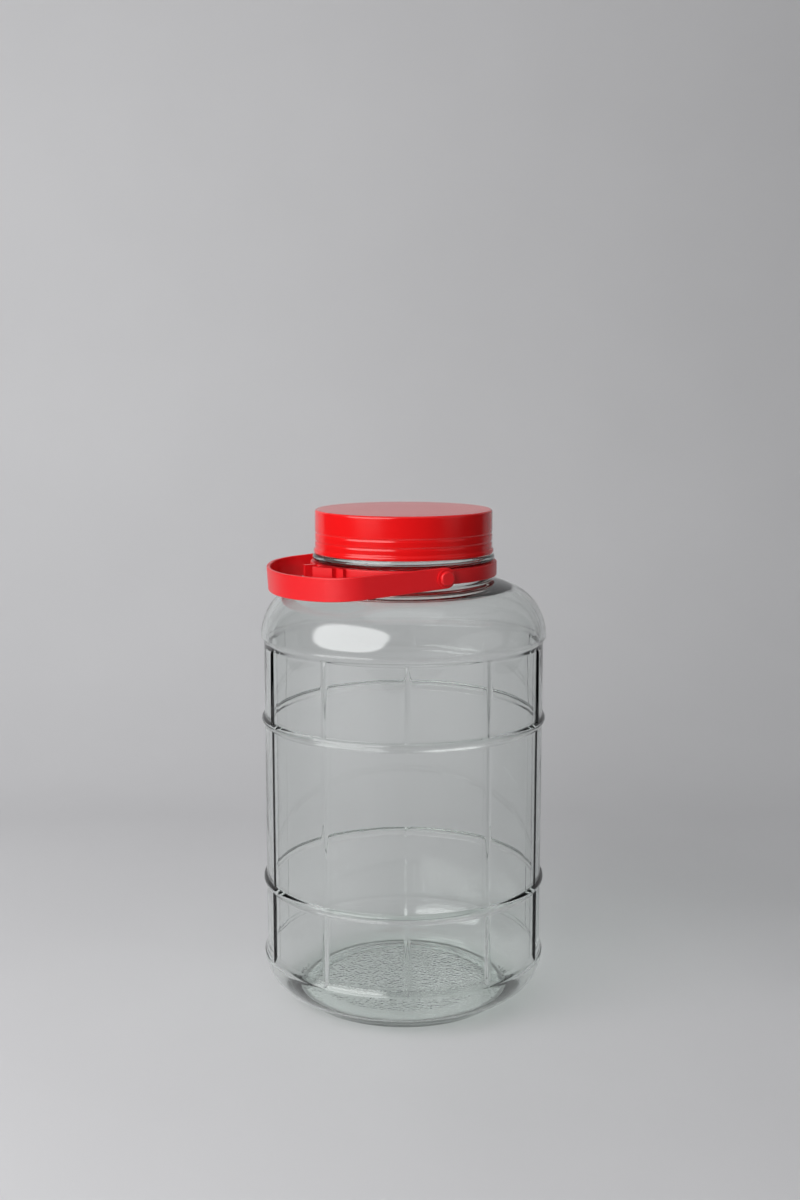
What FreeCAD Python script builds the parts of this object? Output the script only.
"""Clear glass storage jar with a screw lid, a clasped neck band and a swing handle.

Millimetres, +Z up. The origin is the centre of the base, on the surface the jar stands on.
The handle swings about a line along Y and lies folded down towards -X.
"""
import FreeCAD, Part
import math
import os

# ---------------------------------------------------------------- glass jar
wall = 4.0                   # glass thickness of the wall, shoulder and neck
body_radius = 98.0           # outside of the plain wall, set back from heel and shoulder
floor_height = 7.5           # inside floor above the standing surface
push_up = 2.0                # how far the base is raised inside its bearing ring
foot_radius = 75.0           # outer edge of the bearing ring
foot_width = 6.0             # flat width of the bearing ring
heel_radius = 26.0           # rounding from the base up to the heel's edge
heel_height = 31.5           # where the heel ends and the wall steps back
shoulder_height = 259.4      # where the wall steps out again and the shoulder starts
shoulder_radius = 38.0       # rounding from the shoulder's edge into the crown
shoulder_sweep = 62.0        # degrees of that rounding
crown_radius = 60.0          # gentler rounding from there to the neck
neck_radius = 61.0           # outside of the plain neck
neck_fillet = 3.0            # hollow rounding at the foot of the neck
finish_radius = 59.0         # outside of the mouth above the collar bead
finish_wall = 4.0            # glass thickness at the mouth
finish_height = 27.8         # from the collar bead to the rim
rim_rounding = 1.4
collar_proud = 2.5           # how far the collar bead stands out from the neck
collar_height = 5.6

# moulded relief on the glass wall
bead_width = 5.0             # height of each ring bead on the wall
bead_proud = 2.0             # its height off the wall, and the steps at heel and shoulder
lower_bead_lift = 53.9       # lower ring bead above the heel's edge
upper_bead_drop = 58.4       # upper ring bead below the shoulder's edge
rib_width = 4.5
rib_proud = 1.6
ribs_per_half = 5
rib_halves = ((-22.8, 33.5), (151.2, 35.6))    # degrees from -Y: middle rib, pitch

# ---------------------------------------------------------------- screw lid
lid_top = 2.2                # thickness of the flat top
lid_skirt = 1.8              # thickness of the skirt
lid_finish_gap = 1.0         # clearance between skirt and glass, where the thread is
lid_collar_gap = 0.5         # open gap between the skirt's end and the collar bead
lid_edge_rounding = 1.6
lid_lip_proud = 0.9          # how far the lip at the skirt's end stands out
lid_lip_height = 3.4
lid_groove_heights = (7.8, 13.6)               # above the skirt's end
lid_groove_width = 1.6
lid_groove_depth = 0.45

# ---------------------------------------------------------------- neck band
band_height = 9.7
band_thickness = 3.9
band_fit = 0.1               # clearance of the band round the neck and under the bead
band_rounding = 0.6
boss_proud = 0.25            # flat pad under each handle eye
slit_width = 0.6             # open split where the band is clasped
slit_angle = -24.5           # degrees round from -X, minus towards -Y
clasp_thickness = 3.4        # thin clasp lugs, measured round the band
hook_angle = 1.3
hook_reach = 8.3             # how far the hook stands out from the band
wedge_angle = -15.2
wedge_span = 14.6            # wedge lug, measured round the band
wedge_low_reach = 3.0        # its reach beside the split
stop_angle = -27.9
stop_reach = 2.8

# ---------------------------------------------------------------- pivot pins
pin_radius = 3.0
pin_depth = 2.8              # length held in the band
pin_seat_fit = 0.02          # clearance of the pin in the band
pin_head_radius = 4.9
pin_head_height = 2.3
pin_head_rounding = 1.2

# ---------------------------------------------------------------- swing handle
strap_thickness = 2.6
strap_end_width = 14.0       # across the strap at its eyes
strap_grip_width = 16.4      # across the strap at the far end
handle_reach = 95.5          # from the pivot line to the outside of the grip
arm_taper = 3.9              # degrees that each arm leans inwards
bend_radius = 32.0           # outside of the two bends
grip_radius = 90.0           # outside of the slightly bowed grip
strap_rounding = 0.7
eye_fit = 0.08               # running clearance of the eye on its pin
eye_ring_radius = 6.4        # raised ring round each eye
eye_ring_proud = 0.7
arm_gap = 0.3                # between the arm and the band's pad, and under the pin's head
rest_gap = 0.33              # height of the folded handle above the shoulder it rests on

# ---------------------------------------------------------------- derived places
edge_radius = body_radius + bead_proud
shoulder_centre_r = edge_radius - shoulder_radius
sweep = math.radians(shoulder_sweep)
crown_centre_r = shoulder_centre_r - (crown_radius - shoulder_radius) * math.cos(sweep)
crown_centre_z = shoulder_height - (crown_radius - shoulder_radius) * math.sin(sweep)
bead_heights = (heel_height + lower_bead_lift, shoulder_height - upper_bead_drop)
bead_curve = (bead_width ** 2 / 4 + bead_proud ** 2) / (2 * bead_proud)
bead_spread = math.degrees(math.asin(bead_width / 2 / bead_curve))


def crown_height(radius, inset=0.0):
    """Height of the crown surface at a radius, or of its offset towards the inside."""
    return crown_centre_z + math.sqrt((crown_radius - inset) ** 2 - (radius - crown_centre_r) ** 2)


# the fillet at the neck's foot touches the crown and the neck
fillet_centre_r = neck_radius + neck_fillet
fillet_centre_z = crown_centre_z + math.sqrt(
    (crown_radius + neck_fillet) ** 2 - (fillet_centre_r - crown_centre_r) ** 2
)
band_bottom = fillet_centre_z + band_fit
band_top = band_bottom + band_height
collar_bottom = band_top + band_fit
collar_top = collar_bottom + collar_height
rim_height = collar_top + finish_height
pivot_height = (band_bottom + band_top) / 2
band_inner = neck_radius + band_fit
band_outer = band_inner + band_thickness
pad_face = band_outer + boss_proud
arm_inner = pad_face + arm_gap + band_height / 2 * math.tan(math.radians(arm_taper))
arm_outer = arm_inner + strap_thickness
strap_lean = math.asin((strap_grip_width - strap_end_width) / 2 / handle_reach)


# ---------------------------------------------------------------- helpers
def at(radius, height):
    """A point of a lathe outline, which lies in the XZ plane."""
    return FreeCAD.Vector(radius, 0, height)


def on_arc(centre, radius, degrees):
    """A point on a circle of a lathe outline."""
    angle = math.radians(degrees)
    return centre + FreeCAD.Vector(radius * math.cos(angle), 0, radius * math.sin(angle))


def line(start, end):
    return Part.LineSegment(start, end).toShape()


def arc(start, middle, end):
    return Part.Arc(start, middle, end).toShape()


def fillet_arc(centre, radius, first, last):
    """An arc of a lathe outline from one angle to another, in degrees."""
    middle = (first + last) / 2
    return arc(on_arc(centre, radius, first), on_arc(centre, radius, middle),
               on_arc(centre, radius, last))


def turned(edges):
    """The solid that a closed outline makes when it is turned round Z."""
    face = Part.Face(Part.Wire(edges))
    return face.revolve(FreeCAD.Vector(0, 0, 0), FreeCAD.Vector(0, 0, 1), 360)


def cylinder(radius, length, base, direction):
    return Part.makeCylinder(radius, length, base, direction)


def box(low, high):
    size = high - low
    return Part.makeBox(size.x, size.y, size.z, low)


def round_about_z(shape, degrees):
    """A copy of a shape, turned round the jar's axis."""
    copy = shape.copy()
    copy.rotate(FreeCAD.Vector(0, 0, 0), FreeCAD.Vector(0, 0, 1), degrees)
    return copy


def rounded_ring(inner, outer, bottom, top, rounding):
    """A ring whose two outer edges are rounded."""
    low = at(outer - rounding, bottom + rounding)
    high = at(outer - rounding, top - rounding)
    return turned([
        line(at(inner, bottom), at(outer - rounding, bottom)),
        fillet_arc(low, rounding, -90, 0),
        line(at(outer, bottom + rounding), at(outer, top - rounding)),
        fillet_arc(high, rounding, 0, 90),
        line(at(outer - rounding, top), at(inner, top)),
        line(at(inner, top), at(inner, bottom)),
    ])


# ---------------------------------------------------------------- glass jar
def heel_edges():
    """The base slope and the heel, from the bearing ring up to the heel's edge."""
    foot = at(foot_radius, 0)
    centre = at(edge_radius - heel_radius, heel_height)
    across = centre.x - foot.x
    rise = centre.z - foot.z
    distance = math.hypot(across, rise)
    slope = math.degrees(math.atan2(rise, across) - math.asin(heel_radius / distance))
    touch = on_arc(centre, heel_radius, slope - 90)
    return [line(foot, touch), fillet_arc(centre, heel_radius, slope - 90, 0)]


def bead_edge(height, first, last):
    """The round face of a ring bead between two angles, with its crest at a height."""
    return fillet_arc(at(edge_radius - bead_curve, height), bead_curve, first, last)


def outside_wall_edges():
    """The plain wall and its ring beads, between the steps at the heel and the shoulder."""
    half = bead_width / 2
    edges = [bead_edge(heel_height, 0, bead_spread)]
    start = at(body_radius, heel_height + half)
    for height in bead_heights:
        edges.append(line(start, at(body_radius, height - half)))
        edges.append(bead_edge(height, -bead_spread, bead_spread))
        start = at(body_radius, height + half)
    edges.append(line(start, at(body_radius, shoulder_height - half)))
    edges.append(bead_edge(shoulder_height, -bead_spread, 0))
    return edges


def shoulder_edges():
    """The shoulder's rounding, the crown and the hollow fillet at the foot of the neck."""
    shoulder_centre = at(shoulder_centre_r, shoulder_height)
    crown_centre = at(crown_centre_r, crown_centre_z)
    fillet_centre = at(fillet_centre_r, fillet_centre_z)
    meeting = math.degrees(math.atan2(fillet_centre_z - crown_centre_z,
                                      fillet_centre_r - crown_centre_r))
    return [
        fillet_arc(shoulder_centre, shoulder_radius, 0, shoulder_sweep),
        fillet_arc(crown_centre, crown_radius, shoulder_sweep, meeting),
        fillet_arc(fillet_centre, neck_fillet, meeting + 180, 180),
    ]


def outside_mouth_edges():
    """The neck, the collar bead and the mouth up to the rim's rounding."""
    middle = (collar_bottom + collar_top) / 2
    rim_start = at(finish_radius, rim_height - rim_rounding)
    return [
        line(at(neck_radius, fillet_centre_z), at(neck_radius, collar_bottom)),
        arc(at(neck_radius, collar_bottom), at(neck_radius + collar_proud, middle),
            at(neck_radius, collar_top)),
        line(at(neck_radius, collar_top), at(finish_radius, collar_top)),
        line(at(finish_radius, collar_top), rim_start),
        fillet_arc(at(finish_radius - rim_rounding, rim_height - rim_rounding), rim_rounding, 0, 90),
    ]


def glass_outside():
    """Everything inside the jar's outer surface, as one solid."""
    edges = [
        line(at(0, push_up), at(foot_radius - foot_width - push_up, push_up)),
        line(at(foot_radius - foot_width - push_up, push_up), at(foot_radius - foot_width, 0)),
        line(at(foot_radius - foot_width, 0), at(foot_radius, 0)),
    ]
    edges += heel_edges() + outside_wall_edges() + shoulder_edges() + outside_mouth_edges()
    edges.append(line(at(finish_radius - rim_rounding, rim_height), at(0, rim_height)))
    edges.append(line(at(0, rim_height), at(0, push_up)))
    return turned(edges)


def glass_inside():
    """The space inside the jar, open through the rim. It doesn't follow the outside steps."""
    heel_centre = at(body_radius - heel_radius, floor_height + heel_radius - wall)
    inner_heel = heel_radius - wall
    shoulder_centre = at(shoulder_centre_r - bead_proud, shoulder_height)
    crown_centre = at(crown_centre_r - bead_proud, crown_centre_z)
    bore = neck_radius - wall
    bore_start = at(bore, crown_height(bore + bead_proud, wall))
    meeting = math.degrees(math.atan2(bore_start.z - crown_centre.z, bore - crown_centre.x))
    mouth = finish_radius - finish_wall
    above = rim_height + finish_height
    return turned([
        line(at(0, floor_height), at(heel_centre.x, floor_height)),
        fillet_arc(heel_centre, inner_heel, -90, 0),
        line(at(body_radius - wall, heel_centre.z), at(body_radius - wall, shoulder_height)),
        fillet_arc(shoulder_centre, shoulder_radius - wall, 0, shoulder_sweep),
        fillet_arc(crown_centre, crown_radius - wall, shoulder_sweep, meeting),
        line(bore_start, at(bore, collar_bottom)),
        line(at(bore, collar_bottom), at(mouth, collar_top)),
        line(at(mouth, collar_top), at(mouth, above)),
        line(at(mouth, above), at(0, above)),
        line(at(0, above), at(0, floor_height)),
    ])


def glass_ribs():
    """The upright ribs, which run from the heel's step to the shoulder's."""
    radius = (rib_width ** 2 / 4 + rib_proud ** 2) / (2 * rib_proud)
    foot = FreeCAD.Vector(0, -(body_radius + rib_proud - radius), heel_height)
    rib = cylinder(radius, shoulder_height - heel_height, foot, FreeCAD.Vector(0, 0, 1))
    ribs = []
    for middle, pitch in rib_halves:
        for index in range(ribs_per_half):
            ribs.append(round_about_z(rib, middle + (index - (ribs_per_half - 1) / 2) * pitch))
    return ribs


def glass_jar():
    solid = glass_outside().fuse(glass_ribs())
    return solid.cut(glass_inside())


# ---------------------------------------------------------------- screw lid
def lid():
    """A hollow cap that sits on the rim, with two fine grooves and a lip."""
    bore = finish_radius + lid_finish_gap
    outer = bore + lid_skirt
    lip = outer + lid_lip_proud
    bottom = collar_top + lid_collar_gap
    top = rim_height + lid_top
    half = lid_groove_width / 2
    edges = [
        line(at(bore, bottom), at(lip, bottom)),
        line(at(lip, bottom), at(lip, bottom + lid_lip_height / 2)),
        line(at(lip, bottom + lid_lip_height / 2), at(outer, bottom + lid_lip_height)),
    ]
    start = at(outer, bottom + lid_lip_height)
    for height in lid_groove_heights:
        low = at(outer, bottom + height - half)
        high = at(outer, bottom + height + half)
        edges.append(line(start, low))
        edges.append(arc(low, at(outer - lid_groove_depth, bottom + height), high))
        start = high
    edges += [
        line(start, at(outer, top - lid_edge_rounding)),
        fillet_arc(at(outer - lid_edge_rounding, top - lid_edge_rounding), lid_edge_rounding, 0, 90),
        line(at(outer - lid_edge_rounding, top), at(0, top)),
        line(at(0, top), at(0, rim_height)),
        line(at(0, rim_height), at(bore, rim_height)),
        line(at(bore, rim_height), at(bore, bottom)),
    ]
    return turned(edges)


# ---------------------------------------------------------------- neck band
def clasp_lug(angle, span, first_reach, last_reach):
    """An upright lug on the band; its reach may differ from one side to the other."""
    root = (band_inner + band_outer) / 2
    corners = [
        FreeCAD.Vector(-root, span / 2, band_bottom),
        FreeCAD.Vector(-(band_outer + first_reach), span / 2, band_bottom),
        FreeCAD.Vector(-(band_outer + last_reach), -span / 2, band_bottom),
        FreeCAD.Vector(-root, -span / 2, band_bottom),
    ]
    face = Part.Face(Part.makePolygon(corners + corners[:1]))
    lug = face.extrude(FreeCAD.Vector(0, 0, band_height))
    return round_about_z(lug, -angle)


def neck_band():
    """The split band that grips the neck, with its clasp and the two pivot pads."""
    band = rounded_ring(band_inner, band_outer, band_bottom, band_top, band_rounding)
    pads = []
    for side in (-1, 1):
        root = FreeCAD.Vector(0, side * (band_inner + band_outer) / 2, pivot_height)
        outward = FreeCAD.Vector(0, side, 0)
        pads.append(cylinder(band_height / 2, pad_face - abs(root.y), root, outward))
    lugs = [
        clasp_lug(hook_angle, clasp_thickness, hook_reach, hook_reach),
        clasp_lug(wedge_angle, wedge_span, hook_reach, wedge_low_reach),
        clasp_lug(stop_angle, clasp_thickness, stop_reach, stop_reach),
    ]
    band = band.fuse(pads + lugs)
    slit = box(FreeCAD.Vector(-2 * band_outer, -slit_width / 2, band_bottom - band_height),
               FreeCAD.Vector(0, slit_width / 2, band_top + band_height))
    band = band.cut(round_about_z(slit, -slit_angle))
    for side in (-1, 1):
        seat = FreeCAD.Vector(0, side * (pad_face - pin_depth), pivot_height)
        hole = cylinder(pin_radius + pin_seat_fit, 2 * pin_depth, seat, FreeCAD.Vector(0, side, 0))
        band = band.cut(hole)
    return band


# ---------------------------------------------------------------- pivot pins
def pivot_pin(side):
    """A pin with a round head, pressed into the band through the handle's eye."""
    start = pad_face - pin_depth
    under_head = arm_outer + eye_ring_proud + arm_gap
    shank = cylinder(pin_radius, under_head - start, FreeCAD.Vector(0, start, pivot_height),
                     FreeCAD.Vector(0, 1, 0))
    head = cylinder(pin_head_radius, pin_head_height, FreeCAD.Vector(0, under_head, pivot_height),
                    FreeCAD.Vector(0, 1, 0))
    face_height = under_head + pin_head_height
    rims = [edge for edge in head.Edges if abs(edge.CenterOfMass.y - face_height) < 1e-6]
    head = head.makeFillet(pin_head_rounding, rims)
    pin = shank.fuse(head).removeSplitter()
    return pin if side > 0 else round_about_z(pin, 180)


# ---------------------------------------------------------------- swing handle
def loop_outline(inset):
    """Half of the loop seen from above, as arm start, bend and grip points, from +Y."""
    lean = math.radians(arm_taper)
    along = FreeCAD.Vector(-math.cos(lean), -math.sin(lean), 0)
    inward = FreeCAD.Vector(math.sin(lean), -math.cos(lean), 0)
    grip_centre = FreeCAD.Vector(-(handle_reach - grip_radius), 0, 0)
    # the bend's centre lies on a line beside the arm, at a known distance from the grip's centre
    start = FreeCAD.Vector(0, arm_outer, 0) + inward * bend_radius - grip_centre
    reach = grip_radius - bend_radius
    half = start.dot(along)
    travel = -half + math.sqrt(half * half - start.dot(start) + reach * reach)
    bend_centre = grip_centre + start + along * travel
    radius = bend_radius - inset
    to_grip = (bend_centre - grip_centre).normalize()
    arm_end = bend_centre - inward * radius
    grip_start = bend_centre + to_grip * radius
    between = (to_grip - inward).normalize()
    middle = bend_centre + between * radius
    far = FreeCAD.Vector(-(handle_reach - inset), 0, 0)
    arm_start = FreeCAD.Vector(0, arm_outer, 0) + inward * inset
    arm_start = arm_start - along * strap_grip_width
    return arm_start, arm_end, middle, grip_start, far


def mirrored(point):
    return FreeCAD.Vector(point.x, -point.y, point.z)


def loop_edges(inset):
    """The whole loop seen from above, from one arm's start round to the other's."""
    arm_start, arm_end, middle, grip_start, far = loop_outline(inset)
    return [
        line(arm_start, arm_end),
        arc(arm_end, middle, grip_start),
        arc(grip_start, far, mirrored(grip_start)),
        arc(mirrored(grip_start), mirrored(middle), mirrored(arm_end)),
        line(mirrored(arm_end), mirrored(arm_start)),
    ]


def loop_face():
    """The strap's thickness seen from above, between the loop's outside and its inside."""
    outside = loop_edges(0)
    inside = loop_edges(strap_thickness)
    starts = line(outside[0].Vertexes[0].Point, inside[0].Vertexes[0].Point)
    ends = line(outside[-1].Vertexes[-1].Point, inside[-1].Vertexes[-1].Point)
    return Part.Face(Part.Wire(Part.__sortEdges__(outside + inside + [starts, ends])))


def strap_half_width(reach):
    """Half the strap's width at a distance from the pivot line."""
    return strap_end_width / 2 / math.cos(strap_lean) + reach * math.tan(strap_lean)


def shoulder_surface(radius):
    """Height of the glass at a radius outside the neck."""
    if radius < shoulder_centre_r + shoulder_radius * math.cos(sweep):
        return crown_height(radius)
    if radius < edge_radius:
        return shoulder_height + math.sqrt(shoulder_radius ** 2 - (radius - shoulder_centre_r) ** 2)
    return 0.0


def gap_over_shoulder(tilt, loop_points):
    """Smallest height of the strap's lower edge above the glass at a tilt in radians."""
    gaps = []
    for point in loop_points:
        reach = -point.x
        half = strap_half_width(reach)
        radius = math.hypot(reach * math.cos(tilt) - half * math.sin(tilt), point.y)
        height = pivot_height - reach * math.sin(tilt) - half * math.cos(tilt)
        gaps.append(height - shoulder_surface(radius))
    return min(gaps)


def resting_tilt():
    """How far the folded handle hangs below level, in radians, lying on the shoulder."""
    points = []
    for edge in loop_edges(strap_thickness - strap_rounding)[:3]:
        points += [point for point in edge.discretize(40) if point.x < 0]
    raised, sunk = -math.pi / 4, math.pi / 4
    for _ in range(40):
        tilt = (raised + sunk) / 2
        if gap_over_shoulder(tilt, points) > rest_gap:
            raised = tilt
        else:
            sunk = tilt
    return raised


def strap_side():
    """The strap seen from the side: a round end about the pivot, widening to the grip."""
    small = strap_end_width / 2
    high = FreeCAD.Vector(small * math.sin(strap_lean), 0, small * math.cos(strap_lean))
    low = FreeCAD.Vector(high.x, 0, -high.z)
    far_x = -(handle_reach + strap_grip_width)
    far_high = FreeCAD.Vector(far_x, 0, strap_half_width(-far_x))
    far_low = FreeCAD.Vector(far_x, 0, -strap_half_width(-far_x))
    edges = [
        line(high, far_high),
        line(far_high, far_low),
        line(far_low, low),
        arc(low, FreeCAD.Vector(small, 0, 0), high),
    ]
    face = Part.Face(Part.Wire(edges))
    face.translate(FreeCAD.Vector(0, -2 * arm_outer, 0))
    return face.extrude(FreeCAD.Vector(0, 4 * arm_outer, 0))


def handle():
    """The strap loop with an eye at each end, tilted to where it lies folded down."""
    strip = loop_face()
    strip.translate(FreeCAD.Vector(0, 0, -strap_grip_width))
    loop = strip.extrude(FreeCAD.Vector(0, 0, 2 * strap_grip_width))
    loop = loop.common(strap_side())
    loop = loop.makeFillet(strap_rounding, loop.Edges)
    for side in (-1, 1):
        outward = FreeCAD.Vector(0, side, 0)
        face_y = side * (arm_outer + eye_ring_proud)
        ring = cylinder(eye_ring_radius, strap_thickness / 2 + eye_ring_proud,
                        FreeCAD.Vector(0, face_y, 0), outward * -1)
        eye = cylinder(pin_radius + eye_fit, 2 * arm_outer, FreeCAD.Vector(0, 0, 0), outward)
        loop = loop.fuse(ring).cut(eye)
    tilt = math.degrees(resting_tilt())
    print(f"folded handle: {tilt:.2f} degrees below level")
    loop.rotate(FreeCAD.Vector(0, 0, 0), FreeCAD.Vector(0, 1, 0), -tilt)
    loop.translate(FreeCAD.Vector(0, 0, pivot_height))
    return loop


# ---------------------------------------------------------------- export
os.makedirs("parts", exist_ok=True)
nodes = {
    "glass_jar": glass_jar(),
    "lid": lid(),
    "neck_band": neck_band(),
    "pivot_pin_front": pivot_pin(-1),
    "pivot_pin_rear": pivot_pin(1),
    "handle": handle(),
}
for name, shape in nodes.items():
    solids = shape.Solids
    if len(solids) != 1 or not solids[0].isValid():
        raise SystemExit(f"{name}: {len(solids)} solids")
    solids[0].exportStep(f"parts/{name}.step")
    low = shape.BoundBox
    print(f"{name}: {solids[0].Volume / 1000:.1f} cm3, x {low.XMin:.1f} to {low.XMax:.1f},"
          f" y {low.YMin:.1f} to {low.YMax:.1f}, z {low.ZMin:.1f} to {low.ZMax:.1f}")
